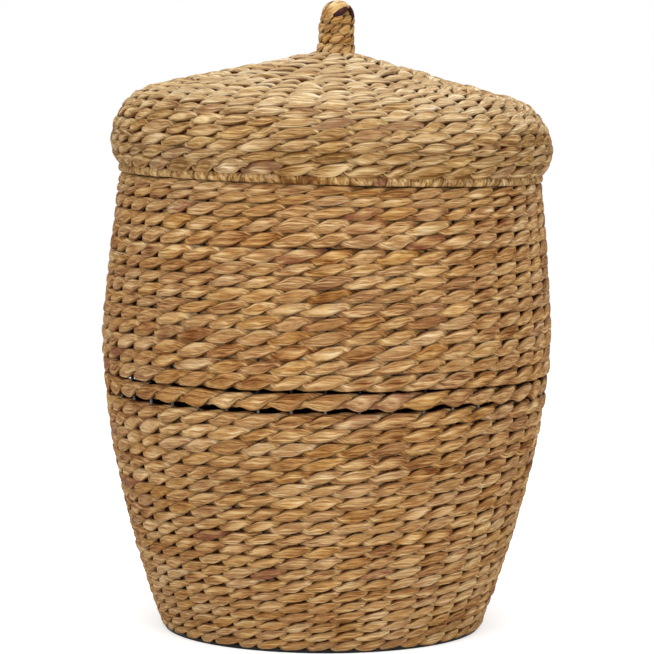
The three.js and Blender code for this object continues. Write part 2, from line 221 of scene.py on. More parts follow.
def set_points(mesh, points):
    """Moves a mesh's vertices to points given in millimetres."""
    mesh.vertices.foreach_set("co", (points * METRES).astype(np.float32).ravel())
    mesh.update()


def get_values(mesh, name):
    """A float attribute of the points as an array."""
    values = np.empty(len(mesh.vertices), dtype=np.float32)
    mesh.attributes[name].data.foreach_get("value", values)
    return values.astype(np.float64)


def set_values(mesh, name, values):
    """Writes an array as a new float attribute of the points."""
    layer = mesh.attributes.new(name, "FLOAT", "POINT")
    layer.data.foreach_set("value", values.astype(np.float32))


def set_strand_map(mesh, to_places):
    """Replaces the strand map, whose values are shares, by places in metres along and around."""
    layer = mesh.uv_layers["strand"]
    shares = np.empty(2 * len(mesh.loops), dtype=np.float32)
    layer.uv.foreach_get("vector", shares)
    mesh.uv_layers.remove(layer)
    layer = mesh.uv_layers.new(name="strand")
    places = to_places(shares.reshape(-1, 2)) * METRES
    layer.uv.foreach_set("vector", places.astype(np.float32).ravel())


def smooth_step(share):
    """A soft step from 0 to 1, as a share goes from 0 to 1."""
    share = np.clip(share, 0, 1)
    return share * share * (3 - 2 * share)


# Twined strands

RINGS_A_SPACING = 9
RING_CROWDING = 0.08
STRAND_SIDES = 16
blanks = {}

# A leaf: how long it dwells on its wire, its tilt at a crossing in radians, and the share of its
# travel, on the inside, in which it turns into the next one
LEAF_DWELL = 0.5
LEAF_TILT = 0.12
LEAF_CHANGE = 0.34
# Its end comes out a little behind the crossing, to close the notch beside the next leaf
TAIL_LIFT = 0.12
TAIL_PLACE = -0.45
TAIL_SPREAD = 0.28
# Where its dark rind begins and how soon it is full, in radians round the strand. The rind is the
# dried edge's own dark brown on the sides, and painted shade on the faces turned into the grooves
# between leaves and courses.
RIND_AND_SHADE_START = 0.95
RIND_AND_SHADE_WIDTH = 0.45


def strand_grid(bm, rings, sides):
    """Adds a flat grid, whose strand map holds each point's shares along and around the strand."""
    grid = bmesh.ops.create_grid(bm, x_segments=rings, y_segments=sides, size=0.5)
    uv = bm.loops.layers.uv["strand"]
    for face in {face for vert in grid["verts"] for face in vert.link_faces}:
        for loop in face.loops:
            loop[uv].uv = loop.vert.co.xy + Vector((0.5, 0.5))
    return grid["verts"]


def roll_up(vert, turn, lap, height=0):
    """Puts a point of a flat grid on a plain hoop, so that its seams meet."""
    reach = 4 + math.cos(lap)
    vert.co = (reach * math.cos(turn), reach * math.sin(turn), math.sin(lap) + height)


def strand_blank(spacings):
    """A mesh of closed strands that has yet to be laid.

    Round an even number of stakes run two strands. Round an odd number one strand runs twice.
    The points carry how far along they are in spacings, how far around in turns, and their strand.
    Each strand starts and ends on the inside, and its rings are closer where the strands cross.
    Until they are laid the strands are plain hoops, one above the other.
    """
    if spacings in blanks:
        return blanks[spacings].copy()
    strands = 2 - spacings % 2
    reach = spacings * (3 - strands)
    bm = bmesh.new()
    bm.loops.layers.uv.new("strand")
    along = bm.verts.layers.float.new("along")
    around = bm.verts.layers.float.new("around")
    strand = bm.verts.layers.float.new("strand_number")
    for number in range(strands):
        for vert in strand_grid(bm, reach * RINGS_A_SPACING, STRAND_SIDES):
            share = vert.co.x + 0.5
            lap = vert.co.y + 0.5
            evenly = share * reach + 1
            vert[along] = evenly + RING_CROWDING * math.sin(FULL_TURN * evenly) - number
            vert[around] = lap
            vert[strand] = number
            roll_up(vert, FULL_TURN * share, FULL_TURN * lap - math.pi, 4 * number)
    blanks[spacings] = finished_mesh(f"blank_{spacings}", bm)
    return blanks[spacings].copy()


def full_section(lap, power=0.66):
    """Places round a section that is fuller at its corners than an ellipse."""
    lap_cos, lap_sin = np.cos(lap), np.sin(lap)
    return np.sign(lap_cos) * np.abs(lap_cos) ** power, np.sign(lap_sin) * np.abs(lap_sin) ** power


def laid_course(seed, place, upward, thickness, pitch, spacings, core=STAKE_RADIUS, wave=None,
                girth=30, rough=1.0, drifting=0.06, squeezed=0.88, fill=1.05, backing=1.15, waist=0.57,
                taper=0.54, swing=0.5, arch=0.0, tone=0.0, blush=0.0, muted=0.0):
    """Lays one twined course: at each stake one flat leaf outside and one inside.

    place is a point (radius, height) on the outside of the course, upward its direction up the
    surface, and core the radius of the wire that the strands go round. The strands lie flat on the
    wires with the same face outward, and are squeezed narrow and thick where they cross: fill is
    how wide they lie outside a wire and backing inside it, waist how wide and squeezed how thick
    they stay at a crossing, taper how soon they narrow, swing how far apart they pass, and arch
    how far up. rough is how much the leaves differ, drifting how far they shift along the course,
    and tone, blush and muted are added to their colouring.
    """
    mesh = strand_blank(spacings)
    rng = np.random.default_rng(seed)
    along = get_values(mesh, "along")
    around = get_values(mesh, "around")
    strand = get_values(mesh, "strand_number").astype(int)
    outward = np.array([upward[1], -upward[0]])
    middle = place - outward * thickness / 2

    travel = along + strand
    leaves = spacings // (2 - spacings % 2)
    leaf = np.floor(travel / 2).astype(int)
    blend = smooth_step((travel / 2 - leaf - 0.5) / LEAF_CHANGE + 0.5)

    def by_leaf(spread, limit):
        """A value for each outside leaf, which changes smoothly on the inside."""
        values = np.clip(rng.normal(0, spread, (2, leaves)), -limit, limit)
        return values[strand, leaf % leaves] * (1 - blend) + values[strand, (leaf + 1) % leaves] * blend

    def by_crossing(spread, limit):
        """A value for each place where the strands cross, the same for both."""
        values = np.clip(rng.normal(0, spread, spacings), -limit, limit)
        before = np.floor(along - 0.5).astype(int)
        share = smooth_step(along - 0.5 - before)
        return values[before % spacings] * (1 - share) + values[(before + 1) % spacings] * share

    phase = math.pi * travel - LEAF_DWELL / 2 * np.sin(FULL_TURN * travel)
    crossing = np.sin(phase) ** 2
    outside = 1 - crossing
    size = 1 + (fill - 1 + by_leaf(0.10, 0.18) * rough) * outside
    plump = 1 + by_leaf(0.13, 0.26) * rough * outside
    rise = by_leaf(0.05, 0.1) * rough * outside + arch * crossing
    drift = by_crossing(drifting, 2 * drifting)
    lay = LEAF_TILT * np.sin(phase) + by_leaf(0.09, 0.2) * rough

    lap = FULL_TURN * around - math.pi
    lap_cos, lap_sin = full_section(lap)
    half_thickness, half_pitch = thickness / 2, pitch / 2
    wire = core / half_thickness
    outer = (0.5 * outside + squeezed * crossing) * plump - wire * np.clip(-np.cos(phase), 0, 1) ** 2
    outer += TAIL_LIFT * np.exp(-((np.cos(phase) - TAIL_PLACE) / TAIL_SPREAD) ** 2)
    inner = 0.5 * outside + squeezed * crossing - wire * np.clip(np.cos(phase), 0, 1) ** 2
    depth = np.where(lap_cos > 0, outer, inner)
    shown = (1 - (1 - waist) * crossing ** taper) * size
    hidden = waist + (backing - waist) * outside ** 0.8
    width = np.where(np.cos(phase) > 0, shown, hidden)
    lay_cos, lay_sin = np.cos(lay), np.sin(lay)
    out = 0.5 * np.cos(phase) + depth * lap_cos * lay_cos - width * lap_sin * lay_sin
    up = swing * np.sin(phase) + depth * lap_cos * lay_sin + width * lap_sin * lay_cos + rise

    angle = FRONT + FULL_TURN * (along + drift) / spacings
    lift = wave(angle) if wave else 0
    out *= half_thickness
    up = half_pitch * up + lift
    radius, height = (middle[axis] + out * outward[axis] + up * upward[axis] for axis in (0, 1))
    set_points(mesh, np.stack([radius * np.cos(angle), radius * np.sin(angle), height], axis=1))

    set_values(mesh, "tone", by_leaf(0.42, 0.9) + tone)
    set_values(mesh, "blush", np.clip(by_leaf(0.9, 2.0) - 1.1 + blush, 0, 1))
    set_values(mesh, "muted", np.clip(by_leaf(0.24, 0.5) + 0.5 + muted, 0, 1))
    # Dark rind on the sides and inner faces: partly the dried edge's brown, partly painted shade in the
    # grooves
    rind_and_shade = smooth_step((np.abs(lap) - RIND_AND_SHADE_START) / RIND_AND_SHADE_WIDTH)
    set_values(mesh, "edge", rind_and_shade * (0.7 + 0.3 * smooth_step(outside / 0.35)))
    laps = 2 if spacings % 2 else 1
    length, shift = FULL_TURN * middle[0] * laps, [rng.uniform(0, 9000), 0]
    set_strand_map(mesh, lambda shares: shares * [length, girth] + shift)
    return mesh


def near(angle, middle, spread):
    """A bump of height 1 round an angle."""
    away = np.angle(np.exp(1j * (angle - middle)))
    return np.exp(-(away / spread) ** 2)


def wall_wave(height, seed, lift=0, tilt=0, bump=0, place=0, spread=1):
    """Slow rise and fall of a wall course round the basket, in millimetres, less near the foot.

    lift raises all of it, tilt its right side, and bump a place counted in radians from the front.
    """
    freedom = min(1.0, height / 60)
    rng = np.random.default_rng(seed)
    starts = rng.uniform(0, FULL_TURN, 3)

    def wave(angle):
        slow = 0.9 * np.sin(angle + 0.4) + 0.6 * np.sin(2 * angle + 1.1 + height / 90)
        quick = 0.4 * np.sin(5 * angle + height / 40) + 0.25 * np.sin(9 * angle + height / 25)
        own = sum(0.26 * np.sin(turns * angle + start) for turns, start in zip((4, 7, 11), starts))
        tweak = lift + tilt * np.cos(angle) + bump * near(angle, FRONT + place, spread)
        return freedom * (slow + quick + own) + tweak

    return wave


# Materials

def linear(code):
    """sRGB hex to the linear colour that a shader takes."""
    channels = [int(code[index:index + 2], 16) / 255 for index in (1, 3, 5)]
    return [c / 12.92 if c <= 0.04045 else ((c + 0.055) / 1.055) ** 2.4 for c in channels] + [1]


def add_node(tree, kind, inputs=None, **settings):
    """Adds a node, sets its settings, and fills or links its inputs."""
    node = tree.nodes.new(kind)
    for name, value in settings.items():
        setattr(node, name, value)
    for name, value in (inputs or {}).items():
        if isinstance(value, bpy.types.NodeSocket):
            tree.links.new(value, node.inputs[name])
        else:
            node.inputs[name].default_value = value
    return node


def new_material(name):
    material = bpy.data.materials.new(name)
    material.use_nodes = True
    tree = material.node_tree
    tree.nodes.clear()
    return material, tree


def set_ramp(node, stops):
    """Gives a colour ramp its stops, as (place, hex) pairs."""
    ramp = node.color_ramp
    while len(ramp.elements) < len(stops):
        ramp.elements.new(0.5)
    for element, (place, code) in zip(ramp.elements, stops):
        element.position = place
        element.color = linear(code)


def centred(tree, value, share, base):
    """Adds a share of a noise's swing round its middle to a base value."""
    swing = add_node(tree, "ShaderNodeMath", {0: value, 1: 0.5}, operation="SUBTRACT")
    return add_node(tree, "ShaderNodeMath", {0: swing.outputs[0], 1: share, 2: base},
                    operation="MULTIPLY_ADD").outputs[0]


def strand_noise(tree, strand, along, across, **inputs):
    """Noise on the strand map, with this many cells a metre along and across the strand."""
    turned = add_node(tree, "ShaderNodeMapping", {0: strand, "Rotation": (0, 0, 0.16)})
    scaled = add_node(tree, "ShaderNodeMapping", {0: turned.outputs[0], "Scale": (along, across, 1)})
    noise = add_node(tree, "ShaderNodeTexNoise", {"Vector": scaled.outputs[0], "Scale": 1.0,
                                                  "Detail": 3.0, **inputs})
    return noise.outputs["Fac"]


def water_hyacinth(name, codes, blush_code, edge_and_shade_code):
    """Dried water hyacinth stem, twisted by hand: a satin skin with long fibres and folds.

    The stem is spongy and dries flat, so its skin folds along its length, and its edges dry to a
    dark brown. The edge colour also paints shade into the grooves between leaves and courses, and
    the dark line along each fold is painted shade in its crease. Fibres are about 1 mm apart, folds
    2 to 4 mm and stains 8 mm, drawn as they show.
    """
    material, tree = new_material(name)
    strand = add_node(tree, "ShaderNodeUVMap", uv_map="strand").outputs[0]
    fibre = strand_noise(tree, strand, 60, 1100, Roughness=0.65)
    crease = strand_noise(tree, strand, 40, 420)
    stain = strand_noise(tree, strand, 45, 130)
    tone, blush, muted, edge = (add_node(tree, "ShaderNodeAttribute", attribute_name=value).outputs["Fac"]
                                for value in ("tone", "blush", "muted", "edge"))

    shade = add_node(tree, "ShaderNodeMath", {0: tone, 1: 0.14, 2: 0.5},
                     operation="MULTIPLY_ADD").outputs[0]
    for source, share in ((fibre, 1.25), (crease, 0.7), (stain, 0.7)):
        shade = centred(tree, source, share, shade)
    ramp = add_node(tree, "ShaderNodeValToRGB", {"Fac": shade})
    set_ramp(ramp, list(zip((0.18, 0.36, 0.52, 0.68, 0.86), codes)))
    strength = add_node(tree, "ShaderNodeMapRange", {"Value": muted, "To Min": 1.05, "To Max": 0.93})
    greyed = add_node(tree, "ShaderNodeHueSaturation", {"Color": ramp.outputs["Color"],
                                                        "Saturation": strength.outputs[0]})

    blushed = add_node(tree, "ShaderNodeMapRange", {"Value": stain, "From Min": 0.62, "From Max": 0.44,
                                                    "To Min": 0.2, "To Max": 0.8})
    blushing = add_node(tree, "ShaderNodeMath", {0: blushed.outputs[0], 1: blush}, operation="MULTIPLY")
    colour = add_node(tree, "ShaderNodeMix", {"Factor": blushing.outputs[0], 6: greyed.outputs["Color"],
                                              7: linear(blush_code)}, data_type="RGBA")

    # Dark line along each fold, where the bump dips: painted shade in the crease
    middle = add_node(tree, "ShaderNodeMath", {0: crease, 1: 0.47}, operation="SUBTRACT")
    away = add_node(tree, "ShaderNodeMath", {0: middle.outputs[0]}, operation="ABSOLUTE")
    fold = add_node(tree, "ShaderNodeMapRange", {"Value": away.outputs[0], "From Max": 0.055,
                                                 "To Min": 1.0, "To Max": 0.0})
    rind_and_shade = add_node(tree, "ShaderNodeMapRange", {"Value": stain, "From Min": 0.35, "From Max": 0.62,
                                                 "To Min": 1.0, "To Max": 0.88})
    # The edge colour: the dried edge's own brown, and painted shade in the grooves between leaves
    edge_and_shade = add_node(tree, "ShaderNodeMath", {0: rind_and_shade.outputs[0], 1: edge}, operation="MULTIPLY")
    dark = add_node(tree, "ShaderNodeMath", {0: fold.outputs[0], 1: 0.34, 2: edge_and_shade.outputs[0]},
                    operation="MULTIPLY_ADD", use_clamp=True)
    colour = add_node(tree, "ShaderNodeMix", {"Factor": dark.outputs[0], 6: colour.outputs[2],
                                              7: linear(edge_and_shade_code)}, data_type="RGBA")

    rough = add_node(tree, "ShaderNodeMapRange", {"Value": fibre, "From Min": 0.3, "From Max": 0.7,
                                                  "To Min": 0.55, "To Max": 0.8})
    relief = add_node(tree, "ShaderNodeMath", {0: crease, 1: 1.6, 2: fibre}, operation="MULTIPLY_ADD")
    relief = add_node(tree, "ShaderNodeMath", {0: fold.outputs[0], 1: -0.5, 2: relief.outputs[0]},
                      operation="MULTIPLY_ADD")
    bump = add_node(tree, "ShaderNodeBump", {"Height": relief.outputs[0], "Strength": 0.75,
                                             "Distance": 0.001})
    shader = add_node(tree, "ShaderNodeBsdfPrincipled", {"Base Color": colour.outputs[2],
                                                         "Roughness": rough.outputs[0],
                                                         "IOR": 1.45, "Specular IOR Level": 0.07,
                                                         "Normal": bump.outputs[0]})
    add_node(tree, "ShaderNodeOutputMaterial", {"Surface": shader.outputs[0]})
    return material


def coated_steel(name, glint_from=None, glint_to=None):
    """Mild steel, welded and powder coated black: a satin coat with a fine orange peel.

    Between the two heights in millimetres, where nothing covers it, a painted glint turns the coat grey,
    standing in for the white room reflected in the wire.
    """
    material, tree = new_material(name)
    place = add_node(tree, "ShaderNodeTexCoord").outputs["Object"]
    peel = add_node(tree, "ShaderNodeTexNoise", {"Vector": place, "Scale": 900.0, "Detail": 2.0})
    wear_and_glint = add_node(tree, "ShaderNodeTexNoise", {"Vector": place, "Scale": 70.0, "Detail": 3.0})
    ramp = add_node(tree, "ShaderNodeValToRGB", {"Fac": wear_and_glint.outputs["Fac"]})
    set_ramp(ramp, [(0.35, "#0c0b0a"), (0.7, "#161413")])
    colour = ramp.outputs["Color"]
    # Painted glint: grey where the wire shows, in place of a reflection of the white room
    if glint_from is not None:
        height = add_node(tree, "ShaderNodeSeparateXYZ", {"Vector": place}).outputs["Z"]
        glint_band = add_node(tree, "ShaderNodeMath", {0: height, 1: (glint_from + glint_to) / 2 * METRES,
                                                 2: (glint_to - glint_from) / 2 * METRES}, operation="COMPARE")
        painted_glint = add_node(tree, "ShaderNodeValToRGB", {"Fac": wear_and_glint.outputs["Fac"]})
        set_ramp(painted_glint, [(0.3, "#3d3b39"), (0.7, "#7d7974")])
        colour = add_node(tree, "ShaderNodeMix", {"Factor": glint_band.outputs[0], 6: colour,
                                                  7: painted_glint.outputs["Color"]}, data_type="RGBA").outputs[2]
    rough = add_node(tree, "ShaderNodeMapRange", {"Value": wear_and_glint.outputs["Fac"], "To Min": 0.4,
                                                  "To Max": 0.6})
    bump = add_node(tree, "ShaderNodeBump", {"Height": peel.outputs["Fac"], "Strength": 0.2,
                                             "Distance": 0.0002})
    shader = add_node(tree, "ShaderNodeBsdfPrincipled", {"Base Color": colour, "Roughness": rough.outputs[0],
                                                         "Specular IOR Level": 0.15,
                                                         "Normal": bump.outputs[0]})
    add_node(tree, "ShaderNodeOutputMaterial", {"Surface": shader.outputs[0]})
    return material


def turned_softwood():
    """Pale softwood dowel, turned and left raw: fine rings 2 mm apart and a matt skin."""
    material, tree = new_material("turned_softwood")
    place = add_node(tree, "ShaderNodeTexCoord")
    grain_map = add_node(tree, "ShaderNodeMapping", {0: place.outputs["Object"], "Scale": (500, 500, 25)})
    grain = add_node(tree, "ShaderNodeTexNoise", {"Vector": grain_map.outputs[0], "Scale": 1.0,
                                                  "Detail": 3.0})
    ramp = add_node(tree, "ShaderNodeValToRGB", {"Fac": grain.outputs["Fac"]})
    set_ramp(ramp, [(0.3, "#a9855a"), (0.7, "#d2b283")])
    bump = add_node(tree, "ShaderNodeBump", {"Height": grain.outputs["Fac"], "Strength": 0.3,
                                             "Distance": 0.0003})
    shader = add_node(tree, "ShaderNodeBsdfPrincipled", {"Base Color": ramp.outputs["Color"],
                                                         "Roughness": 0.7, "Normal": bump.outputs[0]})
    add_node(tree, "ShaderNodeOutputMaterial", {"Surface": shader.outputs[0]})
    return material


# Skins from their darkest to their palest, then the blush, and the edge colour, which is the dried edge's
# brown and also painted shade in the grooves
BODY_HYACINTH = water_hyacinth("dried_water_hyacinth_body",
                               ["#613310", "#98693c", "#b28752", "#c7a26f", "#dcc296"], "#7e4b38", "#4e2206")
LID_HYACINTH = water_hyacinth("dried_water_hyacinth_lid",
                              ["#6c451c", "#a37d4b", "#be9a68", "#d1b585", "#e5d1ac"], "#7f5744", "#582c0a")
KNOB_HYACINTH = water_hyacinth("dried_water_hyacinth_knob",
                               ["#63391a", "#9c6e39", "#b98f55", "#cdaa74", "#e3ca9d"], "#3a1f22", "#3b1a0b")
STEEL = coated_steel("powder_coated_steel")
# The stakes' painted glint, in the lower slit, where they show
PAINTED_GLINT_STEEL = coated_steel("powder_coated_steel_with_painted_glint", glint_from=232, glint_to=241)
SOFTWOOD = turned_softwood()


# Steel pieces

def spin_ring(bm, radius, height, steps):
    """Stands the outline in a bmesh upright at a radius and height, and spins it to a ring."""
    bmesh.ops.rotate(bm, verts=bm.verts, matrix=Matrix.Rotation(math.pi / 2, 3, "X"))
    bmesh.ops.translate(bm, verts=bm.verts, vec=(radius * METRES, 0, height * METRES))
    bmesh.ops.spin(bm, geom=bm.verts[:] + bm.edges[:], cent=(0, 0, 0), axis=(0, 0, 1), dvec=(0, 0, 0),
                   angle=FULL_TURN, steps=steps, use_merge=True, use_duplicate=False)


def round_hoop(radius, height, wire_radius, steps=168):
    """Hoop of round wire, spun from a circle."""
    bm = bmesh.new()
    bmesh.ops.create_circle(bm, segments=10, radius=wire_radius * METRES)
    spin_ring(bm, radius, height, steps)
    return finished_mesh("hoop", bm)


def wire_mesh(paths):
    """Wires like the stakes along paths of (radius, height) points, each stood at its own angle."""
    bm = bmesh.new()
    bent = set()
    for angle, path in paths:
        rings = len(path) - 1
        rod = bmesh.ops.create_cone(bm, cap_ends=True, segments=8, radius1=1, radius2=1, depth=1)
        uprights = [edge for edge in {edge for vert in rod["verts"] for edge in vert.link_edges}
                    if abs(edge.verts[0].co.z - edge.verts[1].co.z) > 0.5]
        bmesh.ops.subdivide_edges(bm, edges=uprights, cuts=rings - 1)
        straight = [vert for vert in bm.verts if vert not in bent]
        bent.update(straight)
        for vert in straight:
            share = (vert.co.z + 0.5) * rings
            low = min(int(share + 1e-4), rings - 1)
            step = path[low + 1] - path[low]
            here = path[low] + step * (share - low)
            forward = step / np.linalg.norm(step)
            across = np.array([forward[1], -forward[0]])
            out = here + across * vert.co.x * STAKE_RADIUS
            aside = vert.co.y * STAKE_RADIUS
            vert.co = Vector((out[0] * math.cos(angle) - aside * math.sin(angle),
                              out[0] * math.sin(angle) + aside * math.cos(angle), out[1])) * METRES
    return finished_mesh("wire", bm)


def stake_angle(index, count=STAKES):
    """Angle of a wire among this many, counted from the front."""
    return FRONT + FULL_TURN * index / count


def make_stakes():
    """Upright wires in the middle of the wall, each bent to its curve."""
    heights = np.linspace(STAKE_BOTTOM, STAKE_TOP, 40)
    path = np.stack([barrel_radius(heights) - WALL_THICKNESS / 2, heights], axis=1)
    for index in range(STAKES):
        number = f"{index + 1:02d}"
        mesh = wire_mesh([(stake_angle(index), path)])
        place_steel(mesh, f"stake_{number}", "basket", f"wall_stake_{number}", PAINTED_GLINT_STEEL)


def make_foot_ring():
    """A flat bar bent to a ring, with its corners eased."""
    bm = bmesh.new()
    bmesh.ops.create_grid(bm, x_segments=1, y_segments=1, size=0.5)
    bmesh.ops.scale(bm, verts=bm.verts, vec=(FOOT_RING_WIDTH * METRES, FOOT_RING_HEIGHT * METRES, 1))
    bmesh.ops.delete(bm, geom=list(bm.faces), context="FACES_ONLY")
    spin_ring(bm, FOOT_RING_RADIUS, FOOT_RING_HEIGHT / 2, steps=126)
    bmesh.ops.remove_doubles(bm, verts=bm.verts, dist=1e-6)
    corners = [edge for edge in bm.edges
               if abs(math.hypot(*edge.verts[0].co.xy) - math.hypot(*edge.verts[1].co.xy)) < 1e-5
               and abs(edge.verts[0].co.z - edge.verts[1].co.z) < 1e-5]
    bmesh.ops.bevel(bm, geom=corners, offset=FOOT_RING_EASE * METRES, affect="EDGES", segments=3,
                    profile=0.5, material=-1)
    place_steel(finished_mesh("foot_ring", bm), "steel_foot_ring", "basket", "foot_ring", STEEL)


def make_basket_hoops():
    """The belly hoop, inside the stakes in the upper slit, and the rim hoop on top of them."""
    belly_edge = barrel_radius(BELLY_HOOP_HEIGHT) - WALL_THICKNESS / 2 - STAKE_RADIUS
    belly = round_hoop(belly_edge - BELLY_HOOP_GAP - BELLY_HOOP_WIRE, BELLY_HOOP_HEIGHT, BELLY_HOOP_WIRE)
    place_steel(belly, "steel_belly_hoop", "basket", "belly_hoop", STEEL)
    rim = round_hoop(barrel_radius(RIM_HOOP_HEIGHT) - WALL_THICKNESS / 2, RIM_HOOP_HEIGHT, RIM_WIRE)
    place_steel(rim, "steel_rim_hoop", "basket", "rim_hoop", STEEL)


def make_base_frame():
    """Cranked spokes from the foot ring to a hub hoop."""
    crank = np.array([[BASE_HUB_RADIUS, SPOKE_HEIGHT], [60, SPOKE_HEIGHT], [100, SPOKE_HEIGHT],
                      [129.5, SPOKE_HEIGHT], [132.5, 8.9], [141, 2.7], [143.5, 2.1], [147, 2.0]])
    paths = [(stake_angle(index, SPOKES), crank) for index in range(SPOKES)]
    place_steel(wire_mesh(paths), "steel_base_spokes", "basket", "base_frame", STEEL)
    hub = round_hoop(BASE_HUB_RADIUS, SPOKE_HEIGHT, HUB_WIRE, steps=60)
    place_steel(hub, "steel_base_hub_hoop", "basket", "base_frame", STEEL)


def make_lid_frame():
    """Ribs from the rim hoop over the shoulder to the hub hoop; every second one stops half way."""
    def rib(last):
        path = []
        for distance in np.linspace(0, last, 26):
            place, upward = lid_place(max(distance, 2))
            place = place if distance >= 2 else LID_OUTLINE[0]
            path.append(place - np.array([upward[1], -upward[0]]) * LID_THICKNESS / 2)
        return np.array(path)

    hub_end = cone_distance(LID_HUB_RADIUS)
    middle_end = cone_distance(LID_MIDDLE_RADIUS)
    ribs = [(stake_angle(index), rib(hub_end if index % 2 == 0 else middle_end))
            for index in range(STAKES)]
    place_steel(wire_mesh(ribs), "steel_lid_ribs", "lid", "lid_frame", STEEL)
    depth = LID_THICKNESS / 2 / math.cos(CONE_ANGLE)
    for name, radius in (("hub", LID_HUB_RADIUS), ("middle", LID_MIDDLE_RADIUS)):
        ring = round_hoop(radius, float(cone_height(radius)) - depth, HUB_WIRE, steps=84)
        place_steel(ring, f"steel_lid_{name}_hoop", "lid", "lid_frame", STEEL)
    rim = round_hoop(LID_HOOP_RADIUS, LID_HOOP_HEIGHT, RIM_WIRE)
    place_steel(rim, "steel_lid_rim_hoop", "lid", "lid_rim_hoop", STEEL)


# Woven pieces of the basket

# Courses of the lower wall, which grow from the foot up, and the lone course between the slits
LOWER_COURSES = 20
LOWER_SPAN = (1.8, 234)
LOWER_GROWTH = (9.6, 13.4)
BELLY_SPAN = (236.8, 253.2)
# Heights between the courses of the upper wall, which are uneven
UPPER_EDGES = [255.9, 270.6, 284.0, 298.2, 311.6, 324.8, 337.1, 349.5, 361.3, 373.0, 386.8, 400.5, 413.7,
               426.0, 434.9, 444.2]

# The foot's courses are fuller, and painted paler as light on the foot. Nothing lies behind the
# slits, and the first and last courses close the gaps at their hoops: the last goes round the rim
# hoop.
FOOT_COURSES = 8
FOOT_SHAPE_AND_LIGHT = {"tone": 0.3, "waist": 0.63}
WALL_SHAPE = {"waist": 0.6}
COURSE_SHAPES = {
    # The first course shares the foot's painted light
    "wall_lower_course_01": {"backing": 1.45, "waist": 0.66, "tone": 0.3},
    "wall_lower_course_20": {"backing": 1.0},
    "wall_belly_course": {"backing": 0.9, "waist": 0.42, "taper": 0.75, "swing": 0.36, "arch": 0.22},
    "wall_upper_course_01": {"backing": 1.0},
    "wall_upper_course_14": {"backing": 1.25, "waist": 0.68},
    "wall_upper_course_15": {"backing": 1.35, "waist": 0.76, "core": 2.6},
}
# The slits close towards the right, two thin ones show above them, and the top courses drop
# towards the right, with a bump at the left: lift, tilt, bump, its place and its spread
COURSE_TWEAKS = {
    "wall_lower_course_20": (-0.3, 0, 1.7, 1.1, 0.55),
    "wall_belly_course": (0, 0.2, -0.9, 1.1, 0.55),
    "wall_upper_course_01": (0.1, 0, -1.2, 1.1, 0.6),
    "wall_upper_course_09": (0, 0, -1.1, 0.85, 0.35),
    "wall_upper_course_10": (0, 0, -1.1, 0.1, 0.7),
    "wall_upper_course_11": (0, 0, 0.8, 0.1, 0.7),
    "wall_upper_course_12": (0, 0, 0.5, -0.7, 0.6),
    "wall_upper_course_13": (0, -0.5, 1.0, -0.7, 0.6),
    "wall_upper_course_14": (0, -1.1, 1.7, -0.7, 0.6),
    "wall_upper_course_15": (0, -1.6),
}


def wall_courses():
    """Node, piece, bottom and top of each course of the wall, from the foot up."""
    steps = np.linspace(*LOWER_GROWTH, LOWER_COURSES)
    steps *= (LOWER_SPAN[1] - LOWER_SPAN[0]) / steps.sum()
    edges = LOWER_SPAN[0] + np.concatenate([[0], np.cumsum(steps)])
    courses = [("wall_weave_lower", f"wall_lower_course_{number:02d}", *span)
               for number, span in enumerate(zip(edges, edges[1:]), 1)]
    courses.append(("belly_course", "wall_belly_course", *BELLY_SPAN))
    courses += [("wall_weave_upper", f"wall_upper_course_{number:02d}", *span)
                for number, span in enumerate(zip(UPPER_EDGES, UPPER_EDGES[1:]), 1)]
    return courses


def make_wall():
    """Courses twined round the stakes, one leaf over each stake."""
    for order, (node, name, bottom, top) in enumerate(wall_courses()):
        height = (bottom + top) / 2
        place, upward = wall_place(height)
        wave = wall_wave(height, 60 + order, *COURSE_TWEAKS.get(name, ()))
        shape = COURSE_SHAPES.get(name, FOOT_SHAPE_AND_LIGHT if order < FOOT_COURSES else WALL_SHAPE)
        mesh = laid_course(100 + order, place, upward, WALL_THICKNESS, top - bottom, STAKES, wave=wave,
                           **shape)
        place_piece(mesh, name, "basket", [node], BODY_HYACINTH)


def make_base():
    """A disc of courses laid flat, twined round the spokes, with fewer leaves at the hub."""
    level = np.array([1.0, 0.0])
    rings = [(BASE_EDGE - BASE_PITCH * number, SPOKES) for number in range(10)] + [(18.9, 11), (7.4, 5)]
    for order, (radius, spacings) in enumerate(rings):
        place = np.array([radius, BASE_UNDERSIDE])
        core = STAKE_RADIUS if radius > BASE_HUB_RADIUS else 0
        mesh = laid_course(300 + order, place, level, BASE_THICKNESS, BASE_PITCH, spacings, core=core)
        place_piece(mesh, f"base_course_{order + 1:02d}", "basket", ["base_weave"],
                    BODY_HYACINTH)


# Woven pieces of the lid

# Distances up the lid's outside between the courses of its side and shoulder
SIDE_EDGES = [-5.3, 11.5, 23.0, 34.5, 47.0, 58.5, 70.0, 82.0, 95.0]
CONE_COURSES = 10
# Radius at which the side's solid and the cone's meet
LID_SEAM = 160.0
# Leaves round a course, outside each radius
LID_LEAVES = ((125, 42), (58, 21), (0, 11))
# Height at which the crown's looser weave sets in, with a paler, greyer colouring that is painted
# light from above, and over how much it does
CROWN_FOOT = 490
CROWN_RISE = 40


